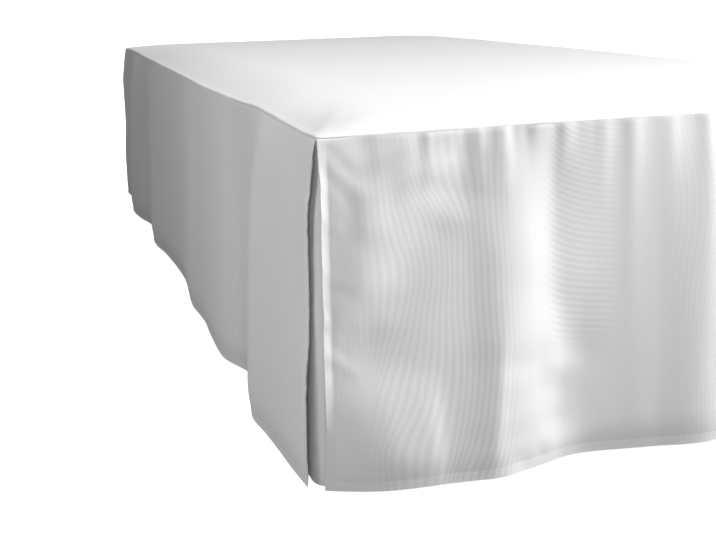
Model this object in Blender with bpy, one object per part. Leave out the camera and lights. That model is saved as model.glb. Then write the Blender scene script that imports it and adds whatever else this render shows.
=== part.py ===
"""A tailored bed skirt on a plain single bed base, at rest on the floor.

The base is a covered box on four turned legs. The skirt is a deck that lies on the base, three
drops sewn to the deck's edge (two sides and the foot), and two corner inserts behind the splits at
the foot corners. The head end has no drop. Metres, +Z up, the foot end towards -Y, and the origin
on the floor below the middle of the whole footprint.
"""

import math
from typing import NamedTuple

import bmesh
import bpy
from mathutils import Vector

MM = 0.001

# The bed base
BED_WIDTH = 0.900
BED_LENGTH = 2.000
LEG_HEIGHT = 0.195
BASE_CORNER_RADIUS = 0.025
BASE_EDGE_RADIUS = 0.010
SHOULDER_RUN = 0.062
CROWN_CORNER_RADIUS = 0.008
LEG_INSET = 0.075
LEG_TOP_RADIUS = 0.029
LEG_FOOT_RADIUS = 0.021
LEG_END_ROUND = 1.5 * MM

# The cloth and its clearances
CLOTH = 1.2 * MM
HEM_CLOTH = 2.2 * MM
GAP = 0.3 * MM
SEAM_GAP = 0.5 * MM
EDGE_CLEAR = 2.0 * MM

# The skirt
DECK_TOP = 0.413
CROWN = 5.0 * MM
SHOULDER = 0.058
HEM_HEIGHT = 0.008
SEAM_BELOW_RIM = 2.0 * MM
RIM_RADIUS = 5.0 * MM
SEAM_ALLOWANCE = 16.0 * MM
HEM_DEPTH = 12.0 * MM
END_HEM = 8.0 * MM
END_HEM_FADE = 60.0 * MM
STITCH = 1.0 * MM
SIDE_START = 2.6 * MM
FOOT_START = 1.0 * MM
SEAM_SOFTNESS = 0.025

# Worked out from the sizes above
BASE_TOP = DECK_TOP - CLOTH - GAP
RIM_TOP = DECK_TOP - CROWN
FLANGE_OUT = EDGE_CLEAR + CLOTH
DROP_OUT = FLANGE_OUT + SEAM_GAP + CLOTH
DROP_TOP = RIM_TOP - SEAM_BELOW_RIM
DROP = DROP_TOP - HEM_HEIGHT

# The foot drop's deepest fold reaches this far past the base, so the base stands back by half of it
FOOT_REACH = 0.053
SIDE_X = BED_WIDTH / 2
FOOT_Y = FOOT_REACH / 2 - BED_LENGTH / 2
HEAD_Y = FOOT_Y + BED_LENGTH


class Fold(NamedTuple):
    """One crest, flank or trough of a hanging drop."""

    at: float  # along the seam from the foot corner, or from the left corner on the foot drop
    out: float  # how far the hem stands out past the seam
    bloom: float  # how soon it comes out: the power of its growth down the drop
    slide: float  # how far the hem drifts along the drop


class Slack(NamedTuple):
    """Where the deck's edge wanders from a straight line."""

    at: float
    out: float
    lift: float


LEFT_FOLDS = (
    Fold(0.000, 0.026, 0.80, 0.008),
    Fold(0.085, 0.031, 0.55, 0.005),
    Fold(0.160, 0.036, 0.42, 0.002),
    Fold(0.225, 0.043, 0.37, 0.000),
    Fold(0.262, 0.036, 0.45, 0.000),
    Fold(0.320, 0.014, 0.80, 0.000),
    Fold(0.385, 0.007, 1.00, 0.000),
    Fold(0.420, 0.011, 1.00, 0.000),
    Fold(0.485, 0.029, 0.75, 0.000),
    Fold(0.600, 0.027, 0.70, 0.000),
    Fold(0.690, 0.021, 0.80, 0.000),
    Fold(0.800, 0.026, 0.60, 0.000),
    Fold(1.000, 0.014, 0.90, 0.000),
    Fold(1.210, 0.022, 0.80, 0.000),
    Fold(1.330, 0.033, 0.60, 0.000),
    Fold(1.530, 0.017, 0.90, 0.000),
    Fold(1.620, 0.032, 0.60, 0.000),
    Fold(1.720, 0.041, 0.50, 0.000),
    Fold(1.850, 0.020, 0.90, 0.000),
    Fold(2.005, 0.029, 0.70, 0.000),
)
RIGHT_FOLDS = (
    Fold(0.000, 0.024, 0.80, 0.007),
    Fold(0.100, 0.033, 0.50, 0.004),
    Fold(0.190, 0.042, 0.40, 0.000),
    Fold(0.300, 0.024, 0.70, 0.000),
    Fold(0.390, 0.011, 0.95, 0.000),
    Fold(0.500, 0.026, 0.70, 0.000),
    Fold(0.620, 0.034, 0.50, 0.000),
    Fold(0.740, 0.019, 0.80, 0.000),
    Fold(0.860, 0.012, 0.90, 0.000),
    Fold(0.980, 0.028, 0.65, 0.000),
    Fold(1.090, 0.037, 0.50, 0.000),
    Fold(1.210, 0.021, 0.80, 0.000),
    Fold(1.320, 0.013, 0.90, 0.000),
    Fold(1.450, 0.026, 0.70, 0.000),
    Fold(1.580, 0.035, 0.55, 0.000),
    Fold(1.710, 0.018, 0.85, 0.000),
    Fold(1.840, 0.031, 0.60, 0.000),
    Fold(2.005, 0.027, 0.70, 0.000),
)
FOOT_FOLDS = (
    Fold(0.000, 0.005, 0.35, -0.004),
    Fold(0.009, 0.013, 0.60, -0.003),
    Fold(0.020, 0.021, 0.75, -0.002),
    Fold(0.038, 0.028, 0.80, 0.000),
    Fold(0.070, 0.036, 0.90, 0.000),
    Fold(0.115, 0.041, 1.00, 0.000),
    Fold(0.160, 0.045, 0.85, 0.001),
    Fold(0.198, 0.048, 0.60, 0.002),
    Fold(0.232, 0.037, 0.65, 0.002),
    Fold(0.262, 0.027, 1.00, 0.002),
    Fold(0.290, 0.016, 0.95, 0.000),
    Fold(0.320, 0.010, 1.00, 0.000),
    Fold(0.400, 0.027, 0.80, 0.000),
    Fold(0.470, 0.039, 0.60, 0.000),
    Fold(0.560, 0.018, 0.90, 0.000),
    Fold(0.650, 0.031, 0.70, 0.000),
    Fold(0.770, 0.015, 0.90, 0.000),
    Fold(0.840, 0.026, 0.80, 0.000),
    Fold(0.885, 0.019, 0.75, 0.002),
    Fold(0.910, 0.006, 0.40, 0.003),
)
LEFT_SLACK = (
    Slack(0.000, 0.000, 0.000),
    Slack(0.140, 0.000, 0.001),
    Slack(0.300, 0.000, 0.004),
    Slack(0.420, 0.001, 0.001),
    Slack(0.550, 0.004, 0.000),
    Slack(0.730, 0.007, 0.000),
    Slack(0.950, 0.004, 0.000),
    Slack(1.300, 0.002, 0.000),
    Slack(1.600, 0.001, 0.000),
    Slack(1.850, 0.001, 0.002),
    Slack(2.005, 0.000, 0.000),
)
RIGHT_SLACK = (
    Slack(0.000, 0.000, 0.000),
    Slack(0.250, 0.002, 0.001),
    Slack(0.500, 0.005, 0.000),
    Slack(0.800, 0.002, 0.002),
    Slack(1.050, 0.001, 0.003),
    Slack(1.350, 0.004, 0.000),
    Slack(1.700, 0.002, 0.001),
    Slack(2.005, 0.000, 0.000),
)

# Down a drop, from the seam to the hem, with the hem's step at the last but two
HEM_AT = DROP - HEM_DEPTH
DROP_LEVELS = (0.0, 0.014, 0.040, 0.080, 0.135, 0.195, 0.260, 0.325, HEM_AT - STITCH, HEM_AT, DROP)
SIDE_COLUMNS = 64
FOOT_COLUMNS = 42
CROWDING = 1.25


def through(rows, column, at):
    """A table's column at a place between its rows, on a smooth curve through them."""
    last = len(rows) - 2
    k = next((i for i in range(last) if at <= rows[i + 1].at), last)
    near = rows[k]
    far = rows[k + 1]
    step = far.at - near.at

    def slope(i):
        before = rows[max(i - 1, 0)]
        after = rows[min(i + 1, len(rows) - 1)]
        return (getattr(after, column) - getattr(before, column)) / (after.at - before.at)

    f = min(max((at - near.at) / step, 0.0), 1.0)
    start = getattr(near, column)
    end = getattr(far, column)
    return (
        (2 * f**3 - 3 * f**2 + 1) * start
        + (f**3 - 2 * f**2 + f) * step * slope(k)
        + (3 * f**2 - 2 * f**3) * end
        + (f**3 - f**2) * step * slope(k + 1)
    )


def smooth(value):
    """0 below 0, 1 above 1 and an S-curve between."""
    value = min(max(value, 0.0), 1.0)
    return value * value * (3 - 2 * value)


class Edge(NamedTuple):
    """One edge of the deck, with a drop sewn to it."""

    corner: Vector  # where the drop's outer face meets the next drop's, at floor level
    along: Vector
    outward: Vector
    folds: tuple
    slack: tuple


STRAIGHT = (Slack(0.0, 0.0, 0.0), Slack(0.450, 0.001, 0.001), Slack(0.910, 0.0, 0.0))
LEFT_CORNER = Vector((-SIDE_X - DROP_OUT, FOOT_Y - DROP_OUT, 0))
RIGHT_CORNER = Vector((SIDE_X + DROP_OUT, FOOT_Y - DROP_OUT, 0))
LEFT = Edge(LEFT_CORNER, Vector((0, 1, 0)), Vector((-1, 0, 0)), LEFT_FOLDS, LEFT_SLACK)
RIGHT = Edge(RIGHT_CORNER, Vector((0, 1, 0)), Vector((1, 0, 0)), RIGHT_FOLDS, RIGHT_SLACK)
FOOT = Edge(LEFT_CORNER, Vector((1, 0, 0)), Vector((0, -1, 0)), FOOT_FOLDS, STRAIGHT)


def stand_off(folds, at, down):
    """How far a drop's outer face stands past its seam line."""
    if down <= 0:
        return 0.0
    share = (down / DROP) ** through(folds, "bloom", at) * (1 - math.exp(-down / SEAM_SOFTNESS))
    return through(folds, "out", at) * share


def drop_point(edge, at, down):
    """A point of a drop's outer face, this far along the seam and this far down the cloth."""
    out = stand_off(edge.folds, at, down)
    rise = out * out / (2 * max(down, SEAM_SOFTNESS))
    drift = through(edge.folds, "slide", at) * down / DROP
    point = edge.corner + edge.along * (at + drift)
    point += edge.outward * (through(edge.slack, "out", at) + out)
    point.z = DROP_TOP + through(edge.slack, "lift", at) - down + rise
    return point


def clear_scene():
    for obj in list(bpy.data.objects):
        bpy.data.objects.remove(obj, do_unlink=True)


def finish_of(name, colour, roughness):
    """A material with one colour and one roughness."""
    material = bpy.data.materials.new(name)
    material.use_nodes = True
    shader = material.node_tree.nodes["Principled BSDF"]
    shader.inputs["Base Color"].default_value = (*colour, 1.0)
    shader.inputs["Roughness"].default_value = roughness
    shader.inputs["Metallic"].default_value = 0.0
    return material


def add_object(name, bm, material):
    """A named object made from a bmesh, shaded smooth but for its sharp edges."""
    mesh = bpy.data.meshes.new(name)
    bm.to_mesh(mesh)
    bm.free()
    mesh.materials.append(material)
    mesh.shade_smooth()
    mesh.set_sharp_from_angle(angle=math.radians(40))
    obj = bpy.data.objects.new(name, mesh)
    bpy.context.scene.collection.objects.link(obj)
    return obj


def cloth_object(name, grid, hems, outward, material):
    """Cloth as a closed sheet: a grid of points on its outer face, thickened behind them.

    It is CLOTH thick, and HEM_CLOTH thick where hems says 1.
    """
    bm = bmesh.new()
    weights = bm.verts.layers.deform.verify()
    rows = []
    for points, shares in zip(grid, hems):
        row = [bm.verts.new(point) for point in points]
        for vert, share in zip(row, shares):
            vert[weights][0] = share
        rows.append(row)
    for upper, lower in zip(rows, rows[1:]):
        for k in range(len(upper) - 1):
            bm.faces.new((upper[k], lower[k], lower[k + 1], upper[k + 1]))
    bm.normal_update()
    if sum(face.normal.dot(outward) for face in bm.faces) < 0:
        bmesh.ops.reverse_faces(bm, faces=bm.faces[:])
    obj = add_object(name, bm, material)
    obj.vertex_groups.new(name="hem")
    thick = obj.modifiers.new("thickness", "SOLIDIFY")
    thick.thickness = HEM_CLOTH
    thick.offset = -1.0
    thick.vertex_group = "hem"
    thick.thickness_vertex_group = CLOTH / HEM_CLOTH
    return obj


def hemmed(places, first, last):
    """The places between a drop's two ends, with the steps of its end hems beside them."""
    margin = END_HEM * 1.5
    between = [place for place in places if first + margin < place < last - margin]
    start = [first, first + END_HEM, first + END_HEM + STITCH]
    return [*start, *between, last - END_HEM - STITCH, last - END_HEM, last]


def drop_object(name, edge, places, material):
    """One drop, sewn along its top and hemmed on its other three sides."""
    first = places[0]
    last = places[-1]

    def hem_share(at, down):
        by_the_end = min(at - first, last - at) < END_HEM + STITCH / 2
        end_hem = smooth(down / END_HEM_FADE) if by_the_end else 0.0
        return 1.0 if down > HEM_AT - STITCH / 2 else end_hem

    grid = [[drop_point(edge, at, down) for at in places] for down in DROP_LEVELS]
    hems = [[hem_share(at, down) for at in places] for down in DROP_LEVELS]
    return cloth_object(name, grid, hems, edge.outward, material)


# The deck's edge in section, as steps of how far out of the base's face: the shoulder that falls from
# the flat top, a quarter round at the rim, then down to the raw edge of the seam allowance
RIM_CENTRE = FLANGE_OUT - RIM_RADIUS
RIM_STEPS = 2
RIM_ANGLES = [math.pi / 2 * k / RIM_STEPS for k in range(RIM_STEPS + 1)]
RIM_ROUND = [(RIM_CENTRE + RIM_RADIUS * math.sin(a), RIM_RADIUS * (1 - math.cos(a))) for a in RIM_ANGLES]
SHOULDER_STEPS = [(RIM_CENTRE - SHOULDER * share, 0.0) for share in (1.0, 0.6, 0.3)]
RIM_SECTION = [*SHOULDER_STEPS, *RIM_ROUND, (FLANGE_OUT, SEAM_ALLOWANCE)]
ROUND_FROM = len(SHOULDER_STEPS)
DECK_ROWS = 26


def shoulder_fall(side_out, foot_out):
    """How far the deck has fallen below its flat top here, this far out of the side and of the foot."""
    side_share = min(max(1 + (side_out - RIM_CENTRE) / SHOULDER, 0.0), 1.0)
    foot_share = min(max(1 + (foot_out - RIM_CENTRE) / SHOULDER, 0.0), 1.0)
    return CROWN * (1 - (1 - side_share**2) * (1 - foot_share**2))


def deck_corner(side_step, foot_step):
    """Where a step of the side's rim meets one of the foot's: out of the side, out of the foot, height."""
    deepest = max(side_step, foot_step)
    out, fall = RIM_SECTION[deepest]
    side_out = RIM_SECTION[side_step][0]
    foot_out = RIM_SECTION[foot_step][0]
    height = DECK_TOP - shoulder_fall(side_out, foot_out) - fall
    if min(side_step, foot_step) < ROUND_FROM or deepest == ROUND_FROM:
        return side_out, foot_out, height
    turn = (foot_step - side_step) / (deepest - ROUND_FROM)
    angle = math.pi / 4 * (1 + turn)
    reach = out - RIM_CENTRE
    return RIM_CENTRE + reach * math.cos(angle), RIM_CENTRE + reach * math.sin(angle), RIM_TOP - fall


def deck_side(edge, side, y):
    """The deck's side rim at one place along the bed, from the seam allowance inwards."""
    at = y - edge.corner.y
    points = []
    for out, fall in reversed(RIM_SECTION):
        share = smooth(1 + (out - RIM_CENTRE) / SHOULDER)
        wander = through(edge.slack, "out", at) * share
        lift = through(edge.slack, "lift", at) * share
        height = DECK_TOP - shoulder_fall(out, FOOT_Y - y) - fall + lift
        points.append(Vector((side * (SIDE_X + out + wander), y, height)))
    return points


def deck_object(material):
    """The deck: flat on the base, rounded over its sides and foot, and turned down behind the drops."""
    inward = list(reversed(range(len(RIM_SECTION))))
    rows = []
    for foot_step in inward:
        corner = [deck_corner(side_step, foot_step) for side_step in inward]
        left = [Vector((-SIDE_X - out, FOOT_Y - forward, height)) for out, forward, height in corner]
        right = [Vector((-point.x, point.y, point.z)) for point in reversed(left)]
        rows.append(left + right)
    first = SHOULDER - RIM_CENTRE
    for k in range(1, DECK_ROWS + 1):
        y = FOOT_Y + first + (BED_LENGTH - first) * (k / DECK_ROWS) ** CROWDING
        rows.append(deck_side(LEFT, -1, y) + deck_side(RIGHT, 1, y)[::-1])
    thin = [[0.0] * len(row) for row in rows]
    return cloth_object("deck", rows, thin, Vector((0, 0, 1)), material)


# The insert hangs from the seam allowance, and its hem stands off and rounds the corner wider
INSERT_TOP = RIM_TOP - SEAM_ALLOWANCE - GAP
INSERT_DROP = INSERT_TOP - HEM_HEIGHT
INSERT_HEM_AT = INSERT_DROP - HEM_DEPTH
INSERT_LEVELS = (0.0, 0.03, 0.08, 0.15, 0.23, 0.31, INSERT_HEM_AT - STITCH, INSERT_HEM_AT, INSERT_DROP)
INSERT_SIDE_OUT = 0.013
INSERT_FOOT_OUT = 0.002
INSERT_HEM_RADIUS = 0.030
INSERT_RUNS = (0.120, 0.075, 0.045)
INSERT_ARC_STEPS = 6


def insert_row(side, down):
    """One level of an insert: along the side, round the corner and along the foot."""
    share = down / INSERT_DROP
    side_out = FLANGE_OUT + INSERT_SIDE_OUT * share
    foot_out = FLANGE_OUT + INSERT_FOOT_OUT * share
    radius = RIM_RADIUS + (INSERT_HEM_RADIUS - RIM_RADIUS) * share
    plan = [(side_out, -run) for run in INSERT_RUNS]
    for k in range(INSERT_ARC_STEPS + 1):
        angle = math.pi / 2 * k / INSERT_ARC_STEPS
        out = side_out - radius * (1 - math.cos(angle))
        plan.append((out, foot_out - radius * (1 - math.sin(angle))))
    plan += [(-run, foot_out) for run in reversed(INSERT_RUNS)]
    height = INSERT_TOP - down
    return [Vector((side * (SIDE_X + out), FOOT_Y - forward, height)) for out, forward in plan]


def insert_object(name, side, material):
    """The cloth behind a corner split, bent round the base's foot corner."""
    grid = [insert_row(side, down) for down in INSERT_LEVELS]
    hems = [[float(down > INSERT_HEM_AT - STITCH / 2)] * len(grid[0]) for down in INSERT_LEVELS]
    return cloth_object(name, grid, hems, Vector((side, -1, 0)), material)


BASE_CORNER_STEPS = 8
BASE_EDGE_STEPS = 3


def base_ring(inset, radius, height):
    """A rounded rectangle this far inside the base's sides."""
    ring = []
    for k in range(4 * (BASE_CORNER_STEPS + 1)):
        corner, step = divmod(k, BASE_CORNER_STEPS + 1)
        angle = math.pi / 2 * (corner + step / BASE_CORNER_STEPS)
        side_x = 1 if corner in (0, 3) else -1
        side_y = 1 if corner in (0, 1) else -1
        x = side_x * (BED_WIDTH / 2 - inset - radius) + radius * math.cos(angle)
        y = side_y * (BED_LENGTH / 2 - inset - radius) + radius * math.sin(angle)
        ring.append((x, y, height))
    return ring


def base_object(material):
    """The covered box: rounded corners and rims, and a top that rises a little to its middle."""
    rings = []
    for k in range(BASE_EDGE_STEPS + 1):
        angle = math.pi / 2 * k / BASE_EDGE_STEPS
        inset = BASE_EDGE_RADIUS * (1 - math.sin(angle))
        rise = BASE_EDGE_RADIUS * (1 - math.cos(angle))
        rings.append((inset, rise))
    depth = BASE_TOP - CROWN - LEG_HEIGHT
    rings += [(inset, depth - rise) for inset, rise in reversed(rings)]
    bm = bmesh.new()
    rows = []
    for inset, height in rings:
        rows.append([bm.verts.new(place) for place in base_ring(inset, BASE_CORNER_RADIUS - inset, height)])
    crown = base_ring(SHOULDER_RUN, CROWN_CORNER_RADIUS, depth + CROWN)
    rows.append([bm.verts.new(place) for place in crown])
    for lower, upper in zip(rows, rows[1:]):
        for k in range(len(lower)):
            after = (k + 1) % len(lower)
            bm.faces.new((lower[k], lower[after], upper[after], upper[k]))
    bm.faces.new(rows[0][::-1])
    bm.faces.new(rows[-1])
    base = add_object("bed_base", bm, material)
    base.location = (0, (FOOT_Y + HEAD_Y) / 2, LEG_HEIGHT)
    return base


def leg_object(name, x, y, material):
    """A turned leg that tapers to its foot, with a small round at each end."""
    bm = bmesh.new()
    height = LEG_HEIGHT - GAP
    bmesh.ops.create_cone(
        bm, cap_ends=True, segments=32, radius1=LEG_FOOT_RADIUS, radius2=LEG_TOP_RADIUS, depth=height
    )
    rims = [edge for edge in bm.edges if abs(edge.verts[0].co.z - edge.verts[1].co.z) < MM]
    bmesh.ops.bevel(bm, geom=rims, offset=LEG_END_ROUND, segments=1, affect="EDGES")
    leg = add_object(name, bm, material)
    leg.location = (x, y, height / 2)
    return leg


def main():
    clear_scene()
    skirt_cloth = finish_of("skirt_cloth", (0.86, 0.86, 0.86), 0.75)
    deck_cloth = finish_of("deck_cloth", (0.90, 0.90, 0.90), 0.85)
    base_cover = finish_of("base_cover", (0.72, 0.70, 0.66), 0.90)
    leg_wood = finish_of("leg_wood", (0.50, 0.33, 0.19), 0.55)

    base_object(base_cover)
    for end, y in (("foot", FOOT_Y + LEG_INSET), ("head", HEAD_Y - LEG_INSET)):
        leg_object(f"leg_{end}_left", LEG_INSET - SIDE_X, y, leg_wood)
        leg_object(f"leg_{end}_right", SIDE_X - LEG_INSET, y, leg_wood)

    deck_object(deck_cloth)
    side_end = BED_LENGTH + DROP_OUT
    crowded = [side_end * (k / SIDE_COLUMNS) ** CROWDING for k in range(SIDE_COLUMNS)]
    side_places = hemmed(crowded, SIDE_START, side_end)
    drop_object("drop_left", LEFT, side_places, skirt_cloth)
    drop_object("drop_right", RIGHT, side_places, skirt_cloth)
    foot_end = BED_WIDTH + 2 * DROP_OUT
    even = [foot_end * k / FOOT_COLUMNS for k in range(FOOT_COLUMNS)]
    drop_object("drop_foot", FOOT, hemmed(even, FOOT_START, foot_end - FOOT_START), skirt_cloth)
    insert_object("insert_left", -1, skirt_cloth)
    insert_object("insert_right", 1, skirt_cloth)


main()
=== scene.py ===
import math
from typing import NamedTuple

import bpy
from mathutils import Matrix, Vector, noise


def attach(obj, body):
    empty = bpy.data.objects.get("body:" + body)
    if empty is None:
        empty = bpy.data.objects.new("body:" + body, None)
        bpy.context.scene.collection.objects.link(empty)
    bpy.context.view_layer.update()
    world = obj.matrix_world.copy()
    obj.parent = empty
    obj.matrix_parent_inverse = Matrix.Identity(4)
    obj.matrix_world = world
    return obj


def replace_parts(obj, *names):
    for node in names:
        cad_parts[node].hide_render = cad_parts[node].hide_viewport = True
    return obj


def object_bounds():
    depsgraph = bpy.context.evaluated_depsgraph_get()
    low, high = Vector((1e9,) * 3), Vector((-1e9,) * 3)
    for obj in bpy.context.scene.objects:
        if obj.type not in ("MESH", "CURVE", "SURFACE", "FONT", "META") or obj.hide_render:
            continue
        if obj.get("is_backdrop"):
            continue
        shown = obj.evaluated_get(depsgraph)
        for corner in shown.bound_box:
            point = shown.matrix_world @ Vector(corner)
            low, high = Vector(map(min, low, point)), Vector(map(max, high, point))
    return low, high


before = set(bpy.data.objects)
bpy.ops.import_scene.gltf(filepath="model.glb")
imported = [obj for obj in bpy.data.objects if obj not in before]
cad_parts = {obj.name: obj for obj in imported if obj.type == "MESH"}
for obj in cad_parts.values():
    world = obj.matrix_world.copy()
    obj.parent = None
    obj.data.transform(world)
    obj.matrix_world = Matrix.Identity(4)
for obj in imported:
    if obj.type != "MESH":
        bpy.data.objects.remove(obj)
cad_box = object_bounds()
bpy.ops.object.select_all(action="DESELECT")

# The camera stands off the foot-left corner of the bed, 0.15 m above the deck, and looks a little
# down and along the bed. It has a normal lens and is very slightly rolled.
CAMERA_PLACE = Vector((-0.7471, -2.0918, 0.5620))
CAMERA_TURN = math.radians(16.722)
CAMERA_DIP = math.radians(14.548)
CAMERA_ROLL = math.radians(1.3325)
bpy.ops.object.camera_add()
camera = bpy.context.object
camera.name = "camera"
camera.data.sensor_width = 36.0
camera.data.lens = 55.41
camera.data.clip_end = 300.0
camera.matrix_world = (
    Matrix.Translation(CAMERA_PLACE)
    @ Matrix.Rotation(-CAMERA_TURN, 4, "Z")
    @ Matrix.Rotation(math.pi / 2 - CAMERA_DIP, 4, "X")
    @ Matrix.Rotation(-CAMERA_ROLL, 4, "Z")
)
bpy.context.scene.camera = camera


# The floor is a plain pale painted floor, brushed slightly uneven and wide enough to fill every view
# to the horizon. It isn't part of the bed. It looks white, as under a strong light of its own, and
# throws only a dim light back on the cloth.
FLOOR_SIDE = 240.0
FLOOR_DARK = (0.80, 0.80, 0.80)
FLOOR_PALE = (0.84, 0.84, 0.84)
FLOOR_DIM = (0.28, 0.28, 0.28, 1.0)
FLOOR_GLOW = 0.97


class Dye:
    """One socket of a finish: sums on it add Math nodes, and node() adds any other kind."""

    def __init__(self, socket):
        self.socket = socket

    def node(self, kind, settings=(), sockets=(), output=0):
        tree = self.socket.id_data
        new = tree.nodes.new(kind)
        for name, value in dict(settings).items():
            if name == "stops":
                for stop, (place, shade) in zip(new.color_ramp.elements, value):
                    stop.position = place
                    stop.color = (shade, shade, shade, 1.0)
            else:
                setattr(new, name, value)
        for name, value in dict(sockets).items():
            if isinstance(value, Dye):
                tree.links.new(value.socket, new.inputs[name])
            else:
                new.inputs[name].default_value = value
        return Dye(new.outputs[output])

    def math(self, operation, *others):
        return self.node("ShaderNodeMath", {"operation": operation}, enumerate((self, *others)))

    def __add__(self, other):
        return self.math("ADD", other)

    __radd__ = __add__

    def __mul__(self, other):
        return self.math("MULTIPLY", other)

    __rmul__ = __mul__

    def __sub__(self, other):
        return self.math("SUBTRACT", other)

    def __rsub__(self, other):
        return (self * -1.0) + other

    def wave(self, length):
        """A sine wave of this length along the value, from -1 to 1."""
        return (self * (2 * math.pi / length)).math("SINE")

    def tint(self, dark, pale):
        """A colour between two, by this share."""
        return self.node(
            "ShaderNodeMix",
            {"data_type": "RGBA"},
            {0: self, 6: (*dark, 1.0), 7: (*pale, 1.0)},
            output=2,
        )


def new_finish(name, roughness, constants=()):
    """A finish with its fixed values set, and the surface shader that its patterns are linked to."""
    finish = bpy.data.materials.new(name)
    finish.use_nodes = True
    surface = finish.node_tree.nodes["Principled BSDF"]
    surface.inputs["Roughness"].default_value = roughness
    for socket, value in dict(constants).items():
        surface.inputs[socket].default_value = value
    return finish, surface


def link(surface, name, dye):
    surface.id_data.links.new(dye.socket, surface.inputs[name])


bpy.ops.mesh.primitive_grid_add(x_subdivisions=8, y_subdivisions=8, size=FLOOR_SIDE)
floor = bpy.context.object
floor.name = "floor"
floor_finish, floor_surface = new_finish("pale floor", 0.9)
start = Dye(floor_surface.outputs[0])
place = start.node("ShaderNodeTexCoord", output=3)
brushed = start.node("ShaderNodeTexNoise", sockets={"Vector": place, "Scale": 3.0, "Detail": 4.0})
link(floor_surface, "Base Color", brushed.tint(FLOOR_DARK, FLOOR_PALE))
dim = start.node("ShaderNodeBsdfDiffuse", sockets={"Color": FLOOR_DIM})
seen = start.node("ShaderNodeLightPath")
glow = start.node("ShaderNodeEmission", sockets={"Color": (1, 1, 1, 1), "Strength": FLOOR_GLOW})
lit = start.node("ShaderNodeAddShader", sockets={0: start, 1: glow})
both = start.node("ShaderNodeMixShader", sockets={0: seen, 1: dim, 2: lit})
output = floor_finish.node_tree.nodes["Material Output"]
floor_finish.node_tree.links.new(both.socket, output.inputs["Surface"])
floor.data.materials.append(floor_finish)
floor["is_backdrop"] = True


# The bed base is a box of boards padded and covered in off-white ticking, a fine twill with a
# broken diagonal. It stands under the skirt and shows only at the open head end and from below.
TICKING_PALE = (0.72, 0.70, 0.66)
TICKING_DARK = (0.58, 0.56, 0.52)
TWILL_PITCH = 0.0022
ticking, ticking_surface = new_finish("base ticking", 0.9, {"Sheen Weight": 0.1})
start = Dye(ticking_surface.outputs[0])
place = start.node("ShaderNodeTexCoord", output=3)
x, y, z = (start.node("ShaderNodeSeparateXYZ", sockets={0: place}, output=k) for k in range(3))
twill = (x + y + z).wave(TWILL_PITCH) * 0.5 + 0.5
yarn = (z - x - y).wave(TWILL_PITCH * 0.5) * 0.5 + 0.5
cloudy = start.node("ShaderNodeTexNoise", sockets={"Vector": place, "Scale": 9.0, "Detail": 3.0})
shade = twill * 0.45 + yarn * 0.2 + cloudy * 0.4
link(ticking_surface, "Base Color", shade.tint(TICKING_DARK, TICKING_PALE))
bump = start.node("ShaderNodeBump", sockets={"Strength": 0.4, "Distance": 0.0004, "Height": shade})
link(ticking_surface, "Normal", bump)
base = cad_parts["bed_base"]
base.data.materials.clear()
base.data.materials.append(ticking)


# The four legs are turned from beech, tapered to the foot and finished in satin varnish.
# The grain runs up the leg, with short dark flecks.
BEECH_PALE = (0.56, 0.37, 0.21)
BEECH_DARK = (0.38, 0.22, 0.11)
beech, beech_surface = new_finish("satin beech", 0.45, {"Coat Weight": 0.25, "Coat Roughness": 0.3})
start = Dye(beech_surface.outputs[0])
place = start.node("ShaderNodeTexCoord", output=3)
drawn_out = start.node("ShaderNodeMapping", sockets={"Vector": place, "Scale": (90.0, 90.0, 7.0)})
grain = start.node("ShaderNodeTexNoise", sockets={"Vector": drawn_out, "Scale": 1.0, "Detail": 6.0})
short = start.node("ShaderNodeMapping", sockets={"Vector": place, "Scale": (900.0, 900.0, 110.0)})
fleck = start.node("ShaderNodeTexNoise", sockets={"Vector": short, "Scale": 1.0, "Detail": 1.0})
flecks = start.node(
    "ShaderNodeValToRGB", {"stops": ((0.30, 0.0), (0.42, 1.0))}, {"Fac": fleck}
)
shade = grain * 1.6 - 0.35
link(beech_surface, "Base Color", (shade * (flecks * 0.3 + 0.7)).tint(BEECH_DARK, BEECH_PALE))
bump = start.node("ShaderNodeBump", sockets={"Strength": 0.15, "Distance": 0.0003, "Height": grain})
link(beech_surface, "Normal", bump)
for end in ("foot", "head"):
    for side in ("left", "right"):
        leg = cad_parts[f"leg_{end}_{side}"]
        leg.data.materials.clear()
        leg.data.materials.append(beech)


# The deck is a rectangle of plain white cotton that lies on the base under the mattress. Its sides
# and foot fall over a soft shoulder, roll over the rim and turn down as the seam allowance of the
# drops; the head end is cut flush with the base. The pull of the drops lifts and puckers its edge.
SIDE_X = 0.450
FOOT_Y = -0.9735
BED_LENGTH = 2.000
DECK_TOP = 0.413
CROWN = 0.005  # how far the rim lies below the flat of the deck
PLUMP = 0.0090  # how far the cloth stands up over the flat, but for the head end
HEAD_RUN = 0.50  # how far from the head end the cloth goes flat
SLOPE = 1.75
SHOULDER = 0.058
FOOT_SHOULDER = 0.034
SIDE_SHOULDER = 0.060
SIDE_WIDENING = 0.055
WIDENING_RUN = 0.26
RIM_TOP = DECK_TOP - CROWN
RIM_RADIUS = 0.005
FLANGE_OUT = 0.0032
SEAM_ALLOWANCE = 0.016
RIM_CENTRE = FLANGE_OUT - RIM_RADIUS
FOOT_RIM_SHARE = 0.45  # how much of the rim's reach is left at the foot, where the gathers meet it
DROP_OUT = 0.0049
DECK_CLOTH = 0.0007
DECK_MIDDLE = 96
DECK_LENGTHS = 190
DECK_CROWDING = 1.35
WAVE_HEIGHT = 0.0005
RIPPLE_HEIGHT = 0.0002
PUCKER_HEIGHT = 0.0006
SIDE_PUCKER_REACH = 0.030
FOOT_PUCKER_REACH = 0.022
CORNER_CREASE = 0.0014


class Slack(NamedTuple):
    """Where the deck's edge wanders from a straight line."""

    at: float  # along the edge from the foot corner, or from the left corner at the foot
    out: float
    lift: float


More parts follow.
